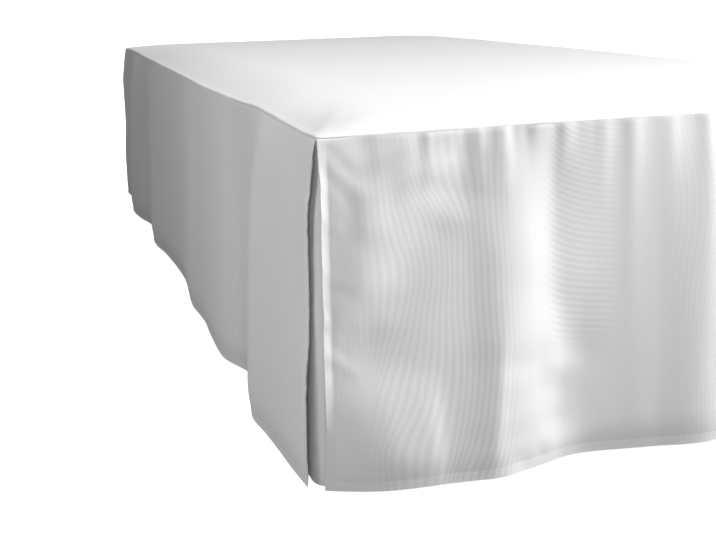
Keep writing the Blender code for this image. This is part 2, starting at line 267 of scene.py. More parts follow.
LEFT_SLACK = (
    Slack(0.000, 0.000, 0.000),
    Slack(0.140, 0.000, 0.001),
    Slack(0.300, 0.000, 0.004),
    Slack(0.420, 0.001, 0.001),
    Slack(0.550, 0.004, 0.000),
    Slack(0.730, 0.007, 0.000),
    Slack(0.950, 0.004, 0.000),
    Slack(1.300, 0.002, 0.000),
    Slack(1.600, 0.001, 0.000),
    Slack(1.850, 0.001, 0.002),
    Slack(2.005, 0.000, 0.000),
)
RIGHT_SLACK = (
    Slack(0.000, 0.000, 0.000),
    Slack(0.250, 0.002, 0.001),
    Slack(0.500, 0.005, 0.000),
    Slack(0.800, 0.002, 0.002),
    Slack(1.050, 0.001, 0.003),
    Slack(1.350, 0.004, 0.000),
    Slack(1.700, 0.002, 0.001),
    Slack(2.005, 0.000, 0.000),
)
FOOT_SLACK = (Slack(0.0, 0.0, 0.0), Slack(0.450, 0.001, 0.001), Slack(0.910, 0.0, 0.0))


def through(rows, column, at):
    """A table's column at a place between its rows, on a smooth curve through them."""
    last = len(rows) - 2
    k = next((i for i in range(last) if at <= rows[i + 1].at), last)
    near = rows[k]
    far = rows[k + 1]
    step = far.at - near.at

    def slope(i):
        before = rows[max(i - 1, 0)]
        after = rows[min(i + 1, len(rows) - 1)]
        return (getattr(after, column) - getattr(before, column)) / (after.at - before.at)

    f = min(max((at - near.at) / step, 0.0), 1.0)
    start = getattr(near, column)
    end = getattr(far, column)
    return (
        (2 * f**3 - 3 * f**2 + 1) * start
        + (f**3 - 2 * f**2 + f) * step * slope(k)
        + (3 * f**2 - 2 * f**3) * end
        + (f**3 - f**2) * step * slope(k + 1)
    )


def smooth(value):
    """0 below 0, 1 above 1 and an S-curve between."""
    value = min(max(value, 0.0), 1.0)
    return value * value * (3 - 2 * value)


def hump(value):
    """1 at 0, falling softly to nothing by about 2.5 on each side."""
    return math.exp(-value * value)


class Step(NamedTuple):
    """One step of the deck's edge: how far out of the base's face, and how far below the shoulder."""

    out: float
    fall: float


SHOULDER_STEPS = [
    Step(RIM_CENTRE - SHOULDER * share, 0.0)
    for share in (1.0, 0.88, 0.76, 0.64, 0.52, 0.40, 0.29, 0.19, 0.09)
]
# The rim rolls over a lip, into the groove of the seam, and out again behind the drop
RIM_STEPS = [
    Step(RIM_CENTRE, 0.0),
    Step(0.0000, 0.00010),
    Step(0.0014, 0.00030),
    Step(0.0027, 0.00066),
    Step(0.0037, 0.00112),
    Step(0.0043, 0.00160),
    Step(0.0044, 0.00195),
    Step(0.0037, 0.00218),
    Step(0.0015, 0.00235),
    Step(0.0013, 0.00260),
    Step(0.0024, 0.00360),
    Step(0.0031, 0.00480),
    Step(FLANGE_OUT, 0.0080),
    Step(FLANGE_OUT, 0.0120),
    Step(FLANGE_OUT, SEAM_ALLOWANCE),
]
SECTION = SHOULDER_STEPS + RIM_STEPS
ROUND_FROM = len(SHOULDER_STEPS)


def side_shoulder(foot_out):
    """How wide the soft shoulder along a side is: it narrows towards the foot."""
    return SIDE_SHOULDER + SIDE_WIDENING * smooth(-foot_out / WIDENING_RUN)


def shoulder_fall(side_out, foot_out):
    """How far the deck lies below its flat here, or above it where this is below 0."""
    side_share = min(max(1 + (side_out - RIM_CENTRE) / side_shoulder(foot_out), 0.0), 1.0)
    foot_share = min(max(1 + (foot_out - RIM_CENTRE) / FOOT_SHOULDER, 0.0), 1.0)
    fullness = (1 - side_share**SLOPE) * (1 - foot_share**SLOPE)
    from_head = BED_LENGTH + foot_out
    return CROWN * (1 - fullness) - PLUMP * fullness * smooth(from_head / HEAD_RUN)


def deck_pucker(x, y):
    """Small unevenness of the deck: soft waves all over, puckers at its seams, and a corner crease."""
    from_left = max(x + SIDE_X, 0.0)
    from_right = max(SIDE_X - x, 0.0)
    from_foot = max(y - FOOT_Y, 0.0)
    waves = WAVE_HEIGHT * noise.noise(Vector((x / 0.16, y / 0.21, 3.1)))
    waves += RIPPLE_HEIGHT * noise.noise(Vector((x / 0.05, y / 0.07, 8.4)))
    pull = noise.noise(Vector((y / 0.045, 1.7, 0.0))) * hump(from_left / SIDE_PUCKER_REACH)
    pull += noise.noise(Vector((y / 0.050, 5.2, 0.0))) * hump(from_right / SIDE_PUCKER_REACH)
    pull += noise.noise(Vector((x / 0.035, 9.6, 0.0))) * hump(from_foot / FOOT_PUCKER_REACH)
    along_corner = (from_left - 0.5 * from_foot) / 0.011
    corner = hump(along_corner + 0.4) * smooth(from_foot / 0.02) * smooth((0.16 - from_foot) / 0.10)
    corner -= 0.6 * hump((from_left - 0.050) / 0.020) * hump((from_foot - 0.020) / 0.022)
    return waves + PUCKER_HEIGHT * pull + CORNER_CREASE * corner


def deck_point(column, row, columns, rows):
    """Where a crossing of the deck's grid lies."""
    steps = len(SECTION)
    side = -1 if column < columns / 2 else 1
    across = min(column, columns - 1 - column)
    slack = LEFT_SLACK if side < 0 else RIGHT_SLACK
    side_step = steps - 1 - across if across < steps else 0
    foot_step = steps - 1 - row if row < steps else 0
    side_out = SECTION[side_step].out
    foot_out = SECTION[foot_step].out
    first = SHOULDER - RIM_CENTRE
    if across >= steps:
        half = SIDE_X - first
        side_out = -SIDE_X + half * abs(2 * (column - steps + 1) / (columns - 2 * steps + 1) - 1)
    if row >= steps:
        share = (row - steps + 1) / (rows - steps)
        foot_out = -(first + (BED_LENGTH - first) * share**DECK_CROWDING)
    deepest = max(side_step, foot_step)
    fall = SECTION[deepest].fall
    height = DECK_TOP - shoulder_fall(side_out, foot_out) - fall
    if min(side_step, foot_step) >= ROUND_FROM and deepest > ROUND_FROM:
        angle = math.pi / 4 * (1 + (foot_step - side_step) / (deepest - ROUND_FROM))
        reach = SECTION[deepest].out - RIM_CENTRE
        side_out = RIM_CENTRE + reach * math.cos(angle)
        foot_out = RIM_CENTRE + reach * math.sin(angle)
        height = RIM_TOP - fall
    at = DROP_OUT - foot_out
    side_share = smooth(1 + (side_out - RIM_CENTRE) / side_shoulder(foot_out))
    wander = through(slack, "out", at) * side_share
    x = side * (SIDE_X + side_out + wander)
    y = FOOT_Y - foot_out * (FOOT_RIM_SHARE if foot_out > 0 else 1)
    foot_share = smooth(1 + (foot_out - RIM_CENTRE) / SHOULDER)
    foot_at = x + SIDE_X + DROP_OUT
    y -= through(FOOT_SLACK, "out", foot_at) * foot_share
    side_lift = through(slack, "lift", at) * side_share
    foot_lift = through(FOOT_SLACK, "lift", foot_at) * foot_share
    lift = max(side_lift, foot_lift)
    above = smooth(1 - fall / RIM_RADIUS)
    return Vector((x, y, height + lift + deck_pucker(x, y) * above))


def sewn_grid(name, columns, rows, point, charts, outward, cloth, hem_cloth=None, doubled=None):
    """Cloth as a closed sheet, from a grid shaped by point(column, row).

    charts holds the maps of its finish by name: weave is each crossing's place on the cut cloth, in
    metres. The sheet is cloth thick behind its outer face, or hem_cloth where doubled says 1.
    """
    bpy.ops.mesh.primitive_grid_add(x_subdivisions=columns - 1, y_subdivisions=rows - 1, size=1.0)
    piece = bpy.context.object
    piece.name = name
    mesh = piece.data
    mesh.name = name
    crossings = [
        (round((vert.co.x + 0.5) * (columns - 1)), round((vert.co.y + 0.5) * (rows - 1)))
        for vert in mesh.vertices
    ]
    for vert, crossing in zip(mesh.vertices, crossings):
        vert.co = point(*crossing)
    while mesh.uv_layers:
        mesh.uv_layers.remove(mesh.uv_layers[0])
    for title, chart in charts.items():
        places = [chart(*crossing) for crossing in crossings]
        layer = mesh.uv_layers.new(name=title)
        for loop in mesh.loops:
            layer.data[loop.index].uv = places[loop.vertex_index]
    mesh.update()
    if sum(face.normal.dot(outward) for face in mesh.polygons) < 0:
        mesh.flip_normals()
    thick = piece.modifiers.new("thickness", "SOLIDIFY")
    thick.offset = -1.0
    thick.thickness = hem_cloth or cloth
    if doubled:
        group = piece.vertex_groups.new(name="hem")
        for vert, crossing in zip(mesh.vertices, crossings):
            group.add([vert.index], doubled(*crossing), "REPLACE")
        thick.vertex_group = "hem"
        thick.thickness_vertex_group = cloth / hem_cloth
    bpy.ops.object.modifier_apply(modifier="thickness")
    bpy.ops.object.shade_smooth_by_angle(angle=math.radians(50))
    return piece


deck_columns = 2 * len(SECTION) + DECK_MIDDLE
deck_rows = len(SECTION) + DECK_LENGTHS


def deck_place(column, row):
    return deck_point(column, row, deck_columns, deck_rows)


def deck_chart(column, row):
    spot = deck_place(column, row)
    return spot.x + 0.5, spot.y + 1.0


UPWARD = Vector((0, 0, 1))
deck_charts = {"weave": deck_chart}
deck = sewn_grid("deck_sheet", deck_columns, deck_rows, deck_place, deck_charts, UPWARD, DECK_CLOTH)
COTTON_YARN = 0.0009
COTTON_DARK = (0.86, 0.86, 0.86)
COTTON_PALE = (0.90, 0.90, 0.90)
SLUB_SCALE = (700.0, 40.0, 1.0)
plain, plain_surface = new_finish("plain white cotton", 0.88, {"Sheen Weight": 0.12})
start = Dye(plain_surface.outputs[0])
chart = start.node("ShaderNodeUVMap", {"uv_map": "weave"})
across, along = (start.node("ShaderNodeSeparateXYZ", sockets={0: chart}, output=k) for k in range(2))
threads = across.wave(COTTON_YARN) * along.wave(COTTON_YARN)
drawn_out = start.node("ShaderNodeMapping", sockets={"Vector": chart, "Scale": SLUB_SCALE})
slubs = start.node("ShaderNodeTexNoise", sockets={"Vector": drawn_out, "Scale": 1.0, "Detail": 2.0})
shade = slubs * 0.6 + threads * 0.2 + 0.25
link(plain_surface, "Base Color", shade.tint(COTTON_DARK, COTTON_PALE))
bump = start.node("ShaderNodeBump", sockets={"Strength": 0.2, "Distance": 0.0001, "Height": shade})
link(plain_surface, "Normal", bump)
deck.data.materials.append(plain)
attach(deck, "root")
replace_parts(deck, "deck")


# The three drops are panels of white cotton with a fine upright rib, faintly watered. Each is sewn
# along its top under the deck's rim, and turned under and stitched down at its foot and both ends.
# They hang free, in the loose uneven folds that such a cloth falls into, and clear the floor.
HEM_HEIGHT = 0.008
DROP_TOP = RIM_TOP - 0.002
DROP = DROP_TOP - HEM_HEIGHT
HEM_DEPTH = 0.012
END_HEM = 0.0098
SKIRT_CLOTH = 0.0007
SKIRT_HEM = 0.0016


class Fold(NamedTuple):
    """One crest, flank or trough of a hanging drop."""

    at: float  # along the seam from the foot corner, or from the left corner on the foot drop
    out: float  # how far the hem stands out past the seam
    bloom: float  # how soon it comes out: the power of its growth down the drop
    slide: float  # how far the hem drifts along the drop


class Gather(NamedTuple):
    """A small pleat that the seam takes in, which dies away down the drop."""

    at: float
    rise: float  # half its width on the near side
    fall: float  # half its width on the far side
    height: float
    reach: float


class Crease(NamedTuple):
    """A soft ridge, or a trough where height is below 0, from one place on the drop to another."""

    at: float
    down: float
    to_at: float
    to_down: float
    near: float  # half its width on the side of the foot corner, or below where it runs across
    far: float
    height: float


FOOT_FOLDS = (
    Fold(0.000, 0.0082, 0.35, -0.005),
    Fold(0.009, 0.0142, 0.60, -0.004),
    Fold(0.020, 0.020, 0.62, -0.002),
    Fold(0.038, 0.028, 0.80, 0.000),
    Fold(0.070, 0.036, 0.92, 0.000),
    Fold(0.115, 0.041, 0.94, 0.000),
    Fold(0.160, 0.045, 0.94, 0.001),
    Fold(0.198, 0.049, 0.68, 0.002),
    Fold(0.232, 0.037, 0.65, 0.002),
    Fold(0.262, 0.0264, 1.00, 0.002),
    Fold(0.290, 0.0160, 0.95, 0.000),
    Fold(0.320, 0.0130, 1.00, 0.000),
    Fold(0.400, 0.027, 0.80, 0.000),
    Fold(0.470, 0.039, 0.60, 0.000),
    Fold(0.560, 0.018, 0.90, 0.000),
    Fold(0.650, 0.031, 0.70, 0.000),
    Fold(0.770, 0.015, 0.90, 0.000),
    Fold(0.840, 0.026, 0.80, 0.000),
    Fold(0.885, 0.019, 0.75, 0.002),
    Fold(0.910, 0.006, 0.40, 0.003),
)
FOOT_GATHERS = (
    Gather(0.066, 0.009, 0.024, 0.0025, 0.035),
    Gather(0.097, 0.018, 0.012, 0.0032, 0.040),
    Gather(0.1195, 0.0045, 0.007, 0.0020, 0.022),
    Gather(0.122, 0.010, 0.018, 0.0030, 0.040),
    Gather(0.147, 0.022, 0.018, 0.0050, 0.045),
    Gather(0.181, 0.013, 0.009, 0.0042, 0.045),
    Gather(0.210, 0.014, 0.009, 0.0056, 0.040),
    Gather(0.2295, 0.0045, 0.006, 0.0022, 0.016),
    Gather(0.250, 0.011, 0.022, 0.0054, 0.030),
    Gather(0.285, 0.007, 0.014, 0.0042, 0.034),
    Gather(0.311, 0.007, 0.008, 0.0014, 0.016),
    Gather(0.335, 0.014, 0.009, 0.0024, 0.050),
    Gather(0.371, 0.010, 0.012, 0.0034, 0.080),
    Gather(0.420, 0.018, 0.010, 0.0028, 0.060),
    Gather(0.468, 0.012, 0.010, 0.0042, 0.090),
    Gather(0.520, 0.018, 0.012, 0.0022, 0.050),
    Gather(0.575, 0.012, 0.009, 0.0034, 0.070),
    Gather(0.630, 0.016, 0.013, 0.0040, 0.080),
    Gather(0.700, 0.012, 0.010, 0.0026, 0.050),
    Gather(0.742, 0.014, 0.011, 0.0038, 0.070),
    Gather(0.800, 0.018, 0.010, 0.0022, 0.060),
    Gather(0.860, 0.014, 0.012, 0.0018, 0.045),
)
FOOT_CREASES = (
    Crease(0.164, 0.010, 0.146, 0.085, 0.034, 0.030, -0.0060),
    Crease(0.146, 0.085, 0.070, 0.180, 0.028, 0.036, -0.0054),
    Crease(0.068, 0.170, 0.048, 0.265, 0.032, 0.042, -0.0052),
    Crease(0.030, 0.205, 0.022, 0.285, 0.016, 0.050, -0.0036),
    Crease(0.048, 0.050, 0.050, 0.115, 0.013, 0.026, 0.0042),
    Crease(0.050, 0.112, 0.040, 0.185, 0.020, 0.024, 0.0022),
    Crease(0.020, 0.095, 0.019, 0.175, 0.010, 0.012, -0.0012),
    Crease(0.016, -0.002, 0.042, 0.034, 0.007, 0.014, 0.0014),
    Crease(0.104, 0.000, 0.118, 0.055, 0.060, 0.044, 0.0056),
    Crease(0.199, 0.050, 0.202, 0.235, 0.030, 0.024, -0.0026),
    Crease(0.208, 0.105, 0.208, 0.270, 0.048, 0.085, 0.0042),
    Crease(0.212, 0.185, 0.210, 0.255, 0.026, 0.030, 0.0018),
    Crease(0.218, 0.275, 0.218, 0.345, 0.060, 0.038, 0.0030),
    Crease(0.195, 0.230, 0.179, 0.395, 0.032, 0.010, 0.0036),
    Crease(0.206, 0.300, 0.206, 0.398, 0.010, 0.022, -0.0014),
    Crease(0.276, 0.020, 0.272, 0.190, 0.018, 0.024, -0.0040),
    Crease(0.272, 0.180, 0.304, 0.290, 0.024, 0.026, -0.0048),
    Crease(0.280, 0.290, 0.270, 0.365, 0.027, 0.032, -0.0056),
    Crease(0.112, 0.290, 0.118, 0.390, 0.024, 0.010, 0.0012),
    Crease(0.128, 0.255, 0.128, 0.398, 0.012, 0.018, -0.0015),
    Crease(0.000, 0.294, 0.110, 0.374, 0.034, 0.055, 0.0054),
    Crease(0.205, 0.372, 0.228, 0.392, 0.010, 0.010, -0.0010),
    Crease(0.238, 0.356, 0.252, 0.388, 0.009, 0.009, -0.0008),
    Crease(0.006, 0.162, 0.036, 0.172, 0.004, 0.005, -0.0009),
    Crease(0.006, 0.150, 0.030, 0.156, 0.005, 0.004, 0.0007),
    Crease(0.006, 0.236, 0.034, 0.262, 0.006, 0.005, 0.0010),
    Crease(0.006, 0.224, 0.024, 0.236, 0.004, 0.004, -0.0007),
    Crease(0.006, 0.020, 0.046, 0.062, 0.006, 0.006, 0.0007),
    Crease(0.006, 0.036, 0.036, 0.074, 0.005, 0.005, -0.0007),
    Crease(0.006, 0.090, 0.022, 0.100, 0.004, 0.005, 0.0007),
    Crease(0.006, 0.308, 0.026, 0.318, 0.005, 0.005, -0.0007),
)
LEFT_FOLDS = (
    Fold(0.000, 0.026, 0.80, 0.008),
    Fold(0.085, 0.031, 0.55, 0.005),
    Fold(0.160, 0.036, 0.42, 0.002),
    Fold(0.225, 0.043, 0.37, 0.000),
    Fold(0.262, 0.036, 0.45, 0.000),
    Fold(0.320, 0.014, 0.80, 0.000),
    Fold(0.385, 0.007, 1.00, 0.000),
    Fold(0.420, 0.011, 1.00, 0.000),
    Fold(0.485, 0.029, 0.64, 0.000),
    Fold(0.600, 0.027, 0.60, 0.000),
    Fold(0.690, 0.021, 0.66, 0.000),
    Fold(0.800, 0.026, 0.52, 0.000),
    Fold(1.000, 0.014, 0.70, 0.000),
    Fold(1.210, 0.022, 0.66, 0.000),
    Fold(1.330, 0.033, 0.60, 0.000),
    Fold(1.530, 0.017, 0.90, 0.000),
    Fold(1.620, 0.032, 0.60, 0.000),
    Fold(1.720, 0.041, 0.50, 0.000),
    Fold(1.850, 0.020, 0.90, 0.000),
    Fold(2.005, 0.029, 0.70, 0.000),
)
LEFT_GATHERS = (
    Gather(0.310, 0.016, 0.020, 0.0010, 0.050),
    Gather(0.640, 0.020, 0.016, 0.0012, 0.060),
    Gather(0.905, 0.018, 0.022, 0.0012, 0.070),
    Gather(1.240, 0.024, 0.018, 0.0014, 0.080),
    Gather(1.560, 0.020, 0.020, 0.0012, 0.070),
    Gather(1.830, 0.022, 0.016, 0.0012, 0.060),
)
RIGHT_FOLDS = (
    Fold(0.000, 0.024, 0.80, 0.007),
    Fold(0.100, 0.033, 0.50, 0.004),
    Fold(0.190, 0.042, 0.40, 0.000),
    Fold(0.300, 0.024, 0.70, 0.000),
    Fold(0.390, 0.011, 0.95, 0.000),
    Fold(0.500, 0.026, 0.70, 0.000),
    Fold(0.620, 0.034, 0.50, 0.000),
    Fold(0.740, 0.019, 0.80, 0.000),
    Fold(0.860, 0.012, 0.90, 0.000),
    Fold(0.980, 0.028, 0.65, 0.000),
    Fold(1.090, 0.037, 0.50, 0.000),
    Fold(1.210, 0.021, 0.80, 0.000),
    Fold(1.320, 0.013, 0.90, 0.000),
    Fold(1.450, 0.026, 0.70, 0.000),
    Fold(1.580, 0.035, 0.55, 0.000),
    Fold(1.710, 0.018, 0.85, 0.000),
    Fold(1.840, 0.031, 0.60, 0.000),
    Fold(2.005, 0.027, 0.70, 0.000),
)
RIGHT_GATHERS = (
    Gather(0.150, 0.016, 0.020, 0.0012, 0.050),
    Gather(0.420, 0.020, 0.016, 0.0014, 0.060),
    Gather(0.770, 0.018, 0.022, 0.0012, 0.070),
    Gather(1.130, 0.024, 0.018, 0.0014, 0.080),
    Gather(1.500, 0.020, 0.020, 0.0012, 0.070),
    Gather(1.780, 0.022, 0.016, 0.0012, 0.060),
)


class Edge(NamedTuple):
    """One edge of the deck, with the drop that is sewn to it."""

    corner: Vector  # where the drop's outer face meets the next drop's, at floor level
    along: Vector
    outward: Vector
    folds: tuple
    slack: tuple
    gathers: tuple
    waver: tuple
    curl: float  # how far the end hems curl out, or in where it is below 0
    closing: float  # how nearly the seam's groove closes, away from the corner
    open_to: float  # how far along the seam its groove stays open
    seed: float
    creases: tuple = ()


class Waver(NamedTuple):
    """How far a drop's loose end stands out past its fold, or in, down its length."""

    at: float  # down the cloth
    out: float


LEFT_WAVER = (
    Waver(0.000, 0.0010),
    Waver(0.020, 0.0026),
    Waver(0.050, 0.0040),
    Waver(0.080, 0.0053),
    Waver(0.110, 0.0035),
    Waver(0.150, 0.0009),
    Waver(0.210, -0.0016),
    Waver(0.280, 0.0002),
    Waver(0.330, -0.0018),
    Waver(0.370, -0.0032),
    Waver(0.398, -0.0008),
)
RIGHT_WAVER = (
    Waver(0.000, 0.0010),
    Waver(0.040, 0.0034),
    Waver(0.090, 0.0022),
    Waver(0.160, -0.0012),
    Waver(0.240, 0.0014),
    Waver(0.320, -0.0022),
    Waver(0.398, 0.0000),
)
FOOT_WAVER = (
    Waver(0.000, 0.0000),
    Waver(0.060, 0.0006),
    Waver(0.130, -0.0004),
    Waver(0.250, 0.0006),
    Waver(0.398, 0.0000),
)
LEFT_CORNER = Vector((-SIDE_X - DROP_OUT, FOOT_Y - DROP_OUT, 0))
RIGHT_CORNER = Vector((SIDE_X + DROP_OUT, FOOT_Y - DROP_OUT, 0))
LEFT = Edge(
    corner=LEFT_CORNER,
    along=Vector((0, 1, 0)),
    outward=Vector((-1, 0, 0)),
    folds=LEFT_FOLDS,
    slack=LEFT_SLACK,
    gathers=LEFT_GATHERS,
    waver=LEFT_WAVER,
    curl=-0.0026,
    closing=0.7,
    open_to=0.45,
    seed=11.0,
)
RIGHT = Edge(
    corner=RIGHT_CORNER,
    along=Vector((0, 1, 0)),
    outward=Vector((1, 0, 0)),
    folds=RIGHT_FOLDS,
    slack=RIGHT_SLACK,
    gathers=RIGHT_GATHERS,
    waver=RIGHT_WAVER,
    curl=-0.0015,
    closing=0.6,
    open_to=0.30,
    seed=23.0,
)
FOOT = Edge(
    corner=LEFT_CORNER,
    along=Vector((1, 0, 0)),
    outward=Vector((0, -1, 0)),
    folds=FOOT_FOLDS,
    slack=FOOT_SLACK,
    gathers=FOOT_GATHERS,
    waver=FOOT_WAVER,
    curl=0.0054,
    closing=1.0,
    open_to=0.012,
    seed=37.0,
    creases=FOOT_CREASES,
)


class Column(NamedTuple):
    """What every point of one column of a drop shares."""

    at: float
    out: float
    bloom: float
    slide: float
    slack_out: float
    lift: float


def drop_column(edge, at):
    folds = [through(edge.folds, name, at) for name in ("out", "bloom", "slide")]
    return Column(at, *folds, through(edge.slack, "out", at), through(edge.slack, "lift", at))


GATHER_START = 0.55  # how nearly a gather is at its full height where it leaves the seam
GATHER_ONSET = 0.012


def gather_height(gather, at, down):
    """How far a gather stands up here: soon at its full height, and dying away down the drop."""
    offset = at - gather.at
    width = gather.rise if offset < 0 else gather.fall
    onset = smooth(GATHER_START + down / GATHER_ONSET)
    return gather.height * hump(offset / width) * math.exp(-down / gather.reach) * onset


CREASE_OVERRUN = 0.2  # how far past its ends a crease runs out, as a share of its length
CREASE_TAPER = 0.5


def crease_height(crease, at, down):
    """How far a crease stands up here, tapering to nothing at both its ends."""
    run = crease.to_at - crease.at
    fall = crease.to_down - crease.down
    length = math.hypot(run, fall)
    share = ((at - crease.at) * run + (down - crease.down) * fall) / length**2
    if not -CREASE_OVERRUN < share < 1 + CREASE_OVERRUN:
        return 0.0
    offset = ((at - crease.at) * fall - (down - crease.down) * run) / length
    from_start = share + CREASE_OVERRUN
    from_end = 1 + CREASE_OVERRUN - share
    taper = smooth(from_start / CREASE_TAPER) * smooth(from_end / CREASE_TAPER)
    width = crease.near if offset < 0 else crease.far
    return crease.height * hump(offset / width) * taper


CURL_TOP = 0.07  # how far down the cloth an end hem has its full curl
CURL_FOOT = 0.29  # how far down it the curl starts to die away again
CURL_FADE = 0.12
CURL_WAVER = 0.40
CURL_KINK = 0.45
CURL_POWER = 1.4


def end_curl(edge, end_line, down):
    """How far an end hem curls here, this far past its stitching: unevenly, and most at its edge."""
    curl = edge.curl * smooth(down / CURL_TOP) * (1 - smooth((down - CURL_FOOT) / CURL_FADE))
    curl *= 1 + CURL_WAVER * noise.noise(Vector((down / 0.018, edge.seed, 9.0)))
    curl *= 1 + CURL_KINK * noise.noise(Vector((down / 0.008, edge.seed, 6.0)))
    return curl * (max(end_line, 0.0) / END_HEM) ** CURL_POWER


SLOW_RIPPLE = 0.0007
FINE_RIPPLE = 0.00022
HEM_STEP = 0.00012  # how far the doubled hem stands proud of the single cloth
HEM_GROOVE = 0.00024  # how deep its stitching draws the cloth in
HEM_GROOVE_WIDTH = 0.0022
END_GROOVE = 0.00030
END_GROOVE_WIDTH = 0.0018
END_WANDER = 0.0010
TUCK = 0.0048  # how far the cloth turns in again at the foot of the drop
TUCK_FROM = 0.345
TUCK_RUN = 0.053


def drop_relief(edge, at, down, length):
    """The finer shape of a drop on its main folds: gathers, creases, ripples, and hems that curl."""
    height = sum(gather_height(gather, at, down) for gather in edge.gathers)
    height += sum(crease_height(crease, at, down) for crease in edge.creases)
    slow = noise.noise(Vector((at / 0.055, down / 0.30, edge.seed)))
    fine = noise.noise(Vector((at / 0.022, down / 0.060, edge.seed + 5.0)))
    height += (SLOW_RIPPLE * slow + FINE_RIPPLE * fine) * smooth(down / 0.05)
    by_end = min(at, length - at)
    from_hem = DROP - down
    hem_line = HEM_DEPTH - from_hem
    height += HEM_STEP * smooth(hem_line / 0.006 + 0.5)
    height -= HEM_GROOVE * hump(hem_line / HEM_GROOVE_WIDTH)
    end_line = END_HEM - by_end
    end_line += END_WANDER * noise.noise(Vector((down / 0.016, edge.seed, 4.0)))
    height -= END_GROOVE * hump(end_line / END_GROOVE_WIDTH) * smooth(down / 0.03)
    height += end_curl(edge, end_line, down)
    height -= TUCK * smooth((down - TUCK_FROM) / TUCK_RUN) ** 2
    return height


SEAM_SOFTNESS = 0.025
SEAM_FULLNESS = 0.0014
FULLNESS_RUN = 0.014
FRAY = 0.0009  # how far a loose end strays along the drop
FRAY_WIDTH = 0.012
WAVER_WIDTH = 0.030
SEAM_GROOVE = 0.0025  # how deep the drop is drawn in under the rim where its seam stays open
SEAM_GROOVE_TOP = 0.00075
SEAM_GROOVE_RUN = 0.0014
CLOSING_RUN = 0.055
CLOSED_OUT = 0.0012  # how much further out it stands where its fullness closes the seam
CLOSED_ROLL = 0.0019
CLOSED_ROLL_RUN = 0.15
CLOSED_LIFT = 0.0022
CLOSED_LIFT_RUN = 0.006


def drop_point(edge, column, down, length):
    """A point of a drop's outer face, this far down the cloth."""
    share = 0.0
    if down > 0:
        share = (down / DROP) ** column.bloom * (1 - math.exp(-down / SEAM_SOFTNESS))
    out = column.out * share
    rise = out * out / (2 * max(down, SEAM_SOFTNESS))
    drift = column.slide * down / DROP
    by_end = min(column.at, length - column.at)
    frayed = FRAY * noise.noise(Vector((down / 0.035, edge.seed, 2.0))) * hump(by_end / FRAY_WIDTH)
    wavered = through(edge.waver, "out", down) * hump(by_end / WAVER_WIDTH)
    closed = edge.closing * smooth((column.at - edge.open_to) / CLOSING_RUN)
    rolled = closed * (CLOSED_OUT + CLOSED_ROLL * math.exp(-down / CLOSED_ROLL_RUN))
    fullness = SEAM_FULLNESS * (1 - math.exp(-down / FULLNESS_RUN)) + rolled
    below = max(down - SEAM_GROOVE_TOP, 0.0) / SEAM_GROOVE_RUN
    tucked = (SEAM_GROOVE - SEAM_GROOVE * closed) * math.exp(-below**0.8)
    point = edge.corner + edge.along * (column.at + drift + frayed)
    relief = drop_relief(edge, column.at, down, length)
    point += edge.outward * (column.slack_out + out + relief + wavered + fullness - tucked)
    raised = CLOSED_LIFT * closed * math.exp(-down / CLOSED_LIFT_RUN)
    point.z = DROP_TOP + column.lift - down + rise + raised
    return point


class WateredLine(NamedTuple):
    """A watered line of the foot drop: which it is, and where it runs at every 50 mm down."""

    number: float
    runs: tuple


WATERED_STEP = 0.050
WATERED_LINES = (
    WateredLine(-0.060, (-0.060, -0.060, -0.060, -0.060, -0.060, -0.060, -0.060, -0.060, -0.060)),
    WateredLine(0.015, (0.010, 0.010, 0.010, 0.010, 0.011, 0.012, 0.008, 0.006, 0.006)),
    WateredLine(0.048, (0.034, 0.034, 0.033, 0.032, 0.038, 0.039, 0.026, 0.022, 0.020)),
    WateredLine(0.085, (0.068, 0.072, 0.079, 0.094, 0.085, 0.067, 0.045, 0.039, 0.036)),
    WateredLine(0.114, (0.083, 0.094, 0.116, 0.122, 0.114, 0.107, 0.093, 0.064, 0.070)),
    WateredLine(0.147, (0.115, 0.123, 0.149, 0.149, 0.147, 0.149, 0.145, 0.136, 0.126)),
    WateredLine(0.174, (0.164, 0.173, 0.174, 0.174, 0.174, 0.175, 0.170, 0.160, 0.144)),
    WateredLine(0.193, (0.197, 0.194, 0.193, 0.194, 0.193, 0.193, 0.188, 0.182, 0.170)),
    WateredLine(0.215, (0.228, 0.217, 0.214, 0.214, 0.214, 0.214, 0.210, 0.204, 0.194)),
    WateredLine(0.400, (0.400, 0.400, 0.400, 0.400, 0.400, 0.400, 0.400, 0.400, 0.400)),
)


def watered_run(line, down):
    """Where a watered line runs at this depth, on a smooth curve through its steps."""
    runs = line.runs
    k = min(int(down / WATERED_STEP), len(runs) - 2)
    f = down / WATERED_STEP - k
    before = runs[max(k - 1, 0)]
    near = runs[k]
    far = runs[k + 1]
    after = runs[min(k + 2, len(runs) - 1)]
    square = 2 * before - 5 * near + 4 * far - after
    cube = 3 * near - 3 * far + after - before
    return near + 0.5 * ((far - before) * f + (square * f**2 + cube * f**3))


LINES_END = 0.235  # how far along the foot drop the lines above reach, before its arcs
ARCS_END = 0.40
ARC_START = 0.250
ARC_SWING = 0.060
ARC_BEND = 0.035
ARC_SPREAD = 0.82
ARC_STRAY = 0.006
ARC_STRENGTH = 0.75
FREE_STRAY = 0.028
FREE_STRENGTH = 0.30
LINE_STRAY = 0.0012


def arc_watering(at, down, stray):
    """The arcs of the foot drop, which fall steeply past its upright lines and then level out."""
    swing = ARC_SWING * (1 - math.exp(-(at - ARC_START) / ARC_BEND)) * (0.35 + math.exp(-down / 0.14))
    across = (down - swing) * ARC_SPREAD + ARC_STRAY * stray
    here = smooth((at - 0.255) / 0.018) * smooth((0.37 - at) / 0.05) * smooth((0.28 - down) / 0.06)
    return across, ARC_STRENGTH * here


